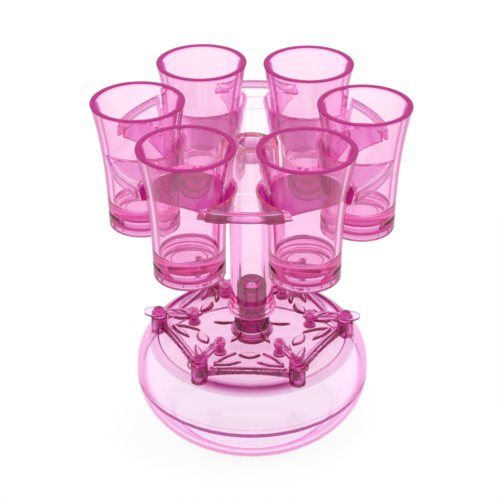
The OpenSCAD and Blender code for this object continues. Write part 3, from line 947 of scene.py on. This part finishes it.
def makeWeb(place):
    # upright plate between this collar and the next, as wide as the gap between their cones
    w = web
    z = np.linspace(rack["under"] - w["tuck"], rack["top"] - 1 - w["height"], w["rows"])
    x = w["centre"] + np.array([0, w["thickness"]])
    middle = rack["glassC"] * np.array([math.cos(sector / 2), math.sin(sector / 2)])
    outerCone = notchRadius(z)[:, None] + collar["wall"] + w["tuck"]
    reach = middle[1] - np.sqrt(np.maximum(outerCone ** 2 - (x - middle[0]) ** 2, 0))
    reach = np.minimum(reach, w["height"])
    corners, sides = [0, 1, 1, 0], np.array([-1, -1, 1, 1])
    x = x[corners] + 0 * z[:, None]
    rings = np.stack([x, reach[:, corners] * sides, z[:, None] + 0 * x], -1)
    grid = turned(capped(rings), placeAngle(place) + sector / 2)
    dress(closedGrid("rackWeb%d" % place, grid), "carrier", "rack_pink", "rack")


def makeCollar(place):
    # strip of a cone round the side of the column; its lower edge climbs outwards on a slanted plane
    k, c = rack, collar
    endR = k["outerR"] - k["lipT"] - c["tuck"]
    tipIn = (k["outerR"] ** 2 - k["glassC"] ** 2 - k["notchR"] ** 2) / (2 * k["glassC"])
    lowR = notchRadius(c["lowZ"])
    slope = (k["notchR"] - lowR) / c["height"]
    rise = (k["lipZ"] - c["lowZ"]) / (tipIn + lowR)
    share = np.sin(np.linspace(-1, 1, c["columns"]) * math.pi / 2)[:, None]
    loop = roundedProfile([(0, 0), (c["wall"], 0, c["footFillet"]), (c["wall"], 1), (0, 1)])
    out, up = loop[None, :, 0], loop[None, :, 1]
    # the strip's ends depend on its radius and that on its angle, so both are found in four rounds
    angle = math.pi + share * 2.4
    for step in range(4):
        low = c["lowZ"] + lowR * (1 + np.cos(angle)) * rise / (1 - slope * np.cos(angle) * rise)
        z = np.where(up > 0.99, k["under"] - c["tuck"], low + up)
        r = notchRadius(z) + out
        end = np.arccos(np.clip((endR ** 2 - k["glassC"] ** 2 - r ** 2) / (2 * k["glassC"] * r), -1, 1))
        angle = math.pi + share * (math.pi - end)
    rings = np.stack([r * np.cos(angle), r * np.sin(angle), z], -1)
    grid = turned(capped(rings), placeAngle(place), (k["glassC"], 0, 0))
    piece = closedGrid("glassCollar%d" % place, grid, 30.0)
    # painted shade: as in the photo the front collars are deep all over, the others only where they
    # face the column
    points = localPoints(piece, placeAngle(place), k["glassC"])
    inwards = -points[:, 0] / distanceOut(points)
    tintAndShade(piece, np.maximum(c["shadeShares"][place - 1], c["heart"] * smoothStep(*c["heartSpan"], inwards)))
    dress(piece, "carrier", "collar_pink", "collar_%d" % place)


# Glasses.

glass = {
    "footR": 17.9,
    "rimR": 23.93,
    "flare": 2.6,
    "height": 68.9,
    "wall": 2.9,
    "base": 13.0,
    "footH": 1.0,
    "lipH": 0.45,
    "floorFillet": 2.4,
    "grooveZ": 8.6,
    "grooveD": 0.6,
    "grooveW": 0.6,
    "hollowR": 14.0,
    "hollowD": 2.6,
    "domeR": 9.0,
    "domeH": 1.2,
    "ribs": 14,
    "ribDepth": 0.3,
    # height, width and share of each painted dark line of the deep colour
    "lines": ((9.6, 0.35, 0.8), (6.8, 0.3, 0.5), (4.4, 0.25, 0.5), (2.9, 0.2, 0.6), (0.5, 0.25, 0.9)),
    "skin": 1.2,
    "baseStain": 0.45,
    "baseSpan": (1.6, 2.4, 7.8, 8.4),
    "cornerShade": 0.6,
    "outsideRows": 64,
    "insideRows": 44,
    "segments": 168,
}


def glassRadius(h):
    # flares late: foot radius plus a power of the height share
    return glass["footR"] + (glass["rimR"] - glass["footR"]) * (h / glass["height"]) ** glass["flare"]


def glassProfile():
    # from the hollow under the base round the foot, up the outside, over the rim, down to the floor
    g = glass
    lipZ = g["height"] - g["lipH"]
    h = np.linspace(g["footH"], lipZ, g["outsideRows"])
    outside = np.stack([glassRadius(h) - g["grooveD"] * around(h, g["grooveZ"], g["grooveW"]), h], 1)
    h = np.linspace(lipZ, g["base"] + g["floorFillet"], g["insideRows"])
    inside = np.stack([glassRadius(h) - g["wall"], h], 1)
    innerR = g["rimR"] - g["wall"]
    lip = roundedProfile([(glassRadius(lipZ), lipZ), (g["rimR"], g["height"], 0.3),
                          (innerR, g["height"], 0.3), (innerR, lipZ)])[1:-1]
    floorR, f = glassRadius(g["base"]) - g["wall"], g["floorFillet"]
    turn = np.linspace(0.25, math.pi / 2, 8)
    corner = np.stack([floorR - f + f * np.cos(turn), g["base"] + f - f * np.sin(turn)], 1)
    domeR, hollowR, hollowZ = g["domeR"], g["hollowR"], g["hollowD"]
    domeZ = hollowZ + g["domeH"]
    foot = roundedProfile([(0, domeZ), (domeR, domeZ, 0.4), (domeR + 0.4, hollowZ, 0.4),
                           (hollowR, hollowZ, 0.8), (hollowR, 0, 0.5), (g["footR"], 0, 0.8),
                           (glassRadius(g["footH"]), g["footH"])])[:-1]
    return np.concatenate([foot, outside, lip, inside, corner, [[0, g["base"]]]])


def glassTintAndShade(r, h):
    # painted shade: dark lines along the groove and the foot's edge, and a dark corner where floor and
    # wall meet; the rim takes the deep colour dull, and the base band a deeper tint
    g = glass
    mark = 2 * smoothStep(g["height"] - 0.5, g["height"] - 0.25, h)
    isOutside = r > glassRadius(h) - g["skin"]
    for height, width, share in g["lines"]:
        mark = np.maximum(mark, share * around(h, height, width) * isOutside)
    baseLow, baseFull, baseEase, baseHigh = g["baseSpan"]
    onBase = smoothStep(baseLow, baseFull, h) * smoothStep(baseHigh, baseEase, h)
    mark = np.maximum(mark, g["baseStain"] * isOutside * onBase)
    fromCorner = np.abs(r - glassRadius(g["base"]) + g["wall"] + 0.6)
    corner = (fromCorner < 0.7) & (h > g["base"]) & (h < g["base"] + 1)
    return np.maximum(mark, g["cornerShade"] * corner)


def makeGlass(place):
    # the profile carried round, with upright ribs round the hollow under the base
    g = glass
    grid = revolvedGrid(glassProfile(), g["segments"])
    r, z = distanceOut(grid), grid[..., 2]
    turn = np.arctan2(grid[..., 1], grid[..., 0])
    inHollow = (np.abs(r - g["hollowR"]) < 0.9) & (z > 0.4) & (z < g["hollowD"] - 0.3)
    rib = np.clip(np.cos(turn * g["ribs"]) * 3 - 2, 0, 1) * g["ribDepth"] * inHollow
    grid[..., 0] -= rib * np.cos(turn)
    grid[..., 1] -= rib * np.sin(turn)
    grid = turned(grid, placeAngle(place), (rack["glassC"], 0, glassLow[2]))
    piece = closedGrid("shotGlass%d" % place, grid)
    points = localPoints(piece, placeAngle(place), rack["glassC"])
    tintAndShade(piece, glassTintAndShade(distanceOut(points), points[:, 2] - glassLow[2]))
    dress(piece, "shot_glass_%d" % place, "glass_pink", "glass_%d" % place)


makeBowl()
makeSeamBand()
print("reservoir made")
makeDeck()
makeNeck()
makePlug()
print("deck and neck made")
for place in range(1, places + 1):
    makePin(place)
for place in range(1, places + 1):
    makeSpout(place)
    makePost(place)
    makeLever(place)
    makeStopper(place)
    makeGlass(place)
print("taps and glasses made")
makeColumn()
makeRackPlate()
for place in range(1, places + 1):
    makeWeb(place)
    makeCollar(place)
print("carrier made")


# Stage: white floor, pale world, soft lamps, the photograph's camera.

camera = {
    "position": (28.157, -611.085, 480.831),
    "forward": (-0.040329, 0.849711, -0.525705),
    "roll": -0.314,
    "lens": 97.94,
    "sensor": 36,
}

ground = {
    "reach": 6.0,
    "z": -0.0003,
    "colour": (0.9, 0.9, 0.9, 1),
    "glow": 0.9,
}

world = {
    "strength": 0.7,
    "behind": (0.8, 0.8, 0.8, 1),  # seen only past the floor's end, in views from low down
    # height of the direction and how white the plastic sees the sky there
    "sky": ((0.0, 1.0), (0.2, 1.0), (0.35, 0.9), (0.55, 0.9), (0.8, 1.0), (1.0, 1.0)),
}

# place and size in metres, and power in watts
lamps = {
    "keyLamp": ((-0.7, -0.6, 0.9), (0.5, 0.5), 7.0),
    "fillLamp": ((0.8, -0.3, 0.7), (0.4, 0.6), 5.0),
    "backLamp": ((0.2, 0.9, 0.8), (0.8, 0.4), 7.0),
}
lampTarget = (0, 0, 0.1)


def makeCamera():
    # stands at its position and looks forward, rolled about the line of sight
    data = bpy.data.cameras.new("camera")
    data.lens = camera["lens"]
    data.sensor_width = camera["sensor"]
    data.clip_start = 0.01
    data.clip_end = 20
    cam = bpy.data.objects.new("camera", data)
    bpy.context.scene.collection.objects.link(cam)
    forward = Vector(camera["forward"]).normalized()
    right = forward.cross(Vector((0, 0, 1))).normalized()
    up = right.cross(forward)
    roll = math.radians(camera["roll"])
    rightRolled = right * math.cos(roll) + up * math.sin(roll)
    upRolled = up * math.cos(roll) - right * math.sin(roll)
    turn = Matrix((rightRolled, upRolled, -forward)).transposed().to_4x4()
    cam.matrix_world = Matrix.Translation(Vector(camera["position"]) * mm) @ turn
    bpy.context.scene.camera = cam


def makeFloor():
    # a wide square that shows white to the camera and in the plastic, and keeps a little shadow
    reach, z = ground["reach"], ground["z"]
    mesh = bpy.data.meshes.new("floor")
    mesh.from_pydata([(-reach, -reach, z), (reach, -reach, z), (reach, reach, z), (-reach, reach, z)],
                     [], [(0, 1, 2, 3)])
    floor = bpy.data.objects.new("floor", mesh)
    bpy.context.scene.collection.objects.link(floor)
    material, tree = newMaterial("floorWhite")
    matte = addNode(tree, "BsdfDiffuse", {"Color": ground["colour"]})
    glow = addNode(tree, "Emission", {"Strength": 1})
    path = addNode(tree, "LightPath", {}).outputs
    seen = combine(tree, "MAXIMUM", path["Is Camera Ray"], path["Is Transmission Ray"])
    seen = combine(tree, "MAXIMUM", seen, path["Is Glossy Ray"])
    share = combine(tree, "MULTIPLY", seen, ground["glow"])
    mix = addNode(tree, "MixShader", {0: share, 1: matte.outputs[0], 2: glow.outputs[0]})
    addNode(tree, "OutputMaterial", {"Surface": mix.outputs[0]})
    mesh.materials.append(material)


def makeWorld():
    # even light, a sky with a faintly darker belt in the plastic, and a plain backdrop for the camera
    studio = bpy.data.worlds.new("studio")
    studio.use_nodes = True
    bpy.context.scene.world = studio
    tree = studio.node_tree
    tree.nodes.clear()
    direction = addNode(tree, "TexCoord", {}).outputs["Generated"]
    height = addNode(tree, "SeparateXYZ", {0: direction}).outputs["Z"]
    ramp = addNode(tree, "ValToRGB", {"Fac": height})
    stops = world["sky"]
    elements = ramp.color_ramp.elements
    elements[0].position, elements[1].position = stops[0][0], stops[-1][0]
    elements[0].color, elements[1].color = (*[stops[0][1]] * 3, 1), (*[stops[-1][1]] * 3, 1)
    for position, value in stops[1:-1]:
        elements.new(position).color = (value, value, value, 1)
    even = addNode(tree, "Background", {"Color": (1, 1, 1, 1), "Strength": world["strength"]})
    sky = addNode(tree, "Background", {"Color": ramp.outputs["Color"], "Strength": 1})
    backdrop = addNode(tree, "Background", {"Color": world["behind"], "Strength": 1})
    path = addNode(tree, "LightPath", {}).outputs
    inPlastic = combine(tree, "MAXIMUM", path["Is Glossy Ray"], path["Is Transmission Ray"])
    unseen = addNode(tree, "MixShader", {0: inPlastic, 1: even.outputs[0], 2: sky.outputs[0]})
    both = {0: path["Is Camera Ray"], 1: unseen.outputs[0], 2: backdrop.outputs[0]}
    addNode(tree, "OutputWorld", {"Surface": addNode(tree, "MixShader", both).outputs[0]})


def makeLamp(name, place, size, power):
    # a soft lamp turned to the object, which doesn't show in the plastic
    data = bpy.data.lights.new(name, "AREA")
    data.shape = "RECTANGLE"
    data.size, data.size_y = size
    data.energy = power
    lamp = bpy.data.objects.new(name, data)
    bpy.context.scene.collection.objects.link(lamp)
    lamp.visible_glossy = False
    lamp.visible_transmission = False
    lamp.location = place
    lamp.rotation_euler = (Vector(lampTarget) - Vector(place)).to_track_quat("-Z", "Y").to_euler()


makeCamera()
makeFloor()
makeWorld()
for lampName, setting in lamps.items():
    makeLamp(lampName, *setting)

scene = bpy.context.scene
scene.view_settings.view_transform = "Standard"
bounces = 96
scene.cycles.max_bounces = bounces
scene.cycles.transmission_bounces = bounces
scene.cycles.glossy_bounces = bounces
print("stage made")
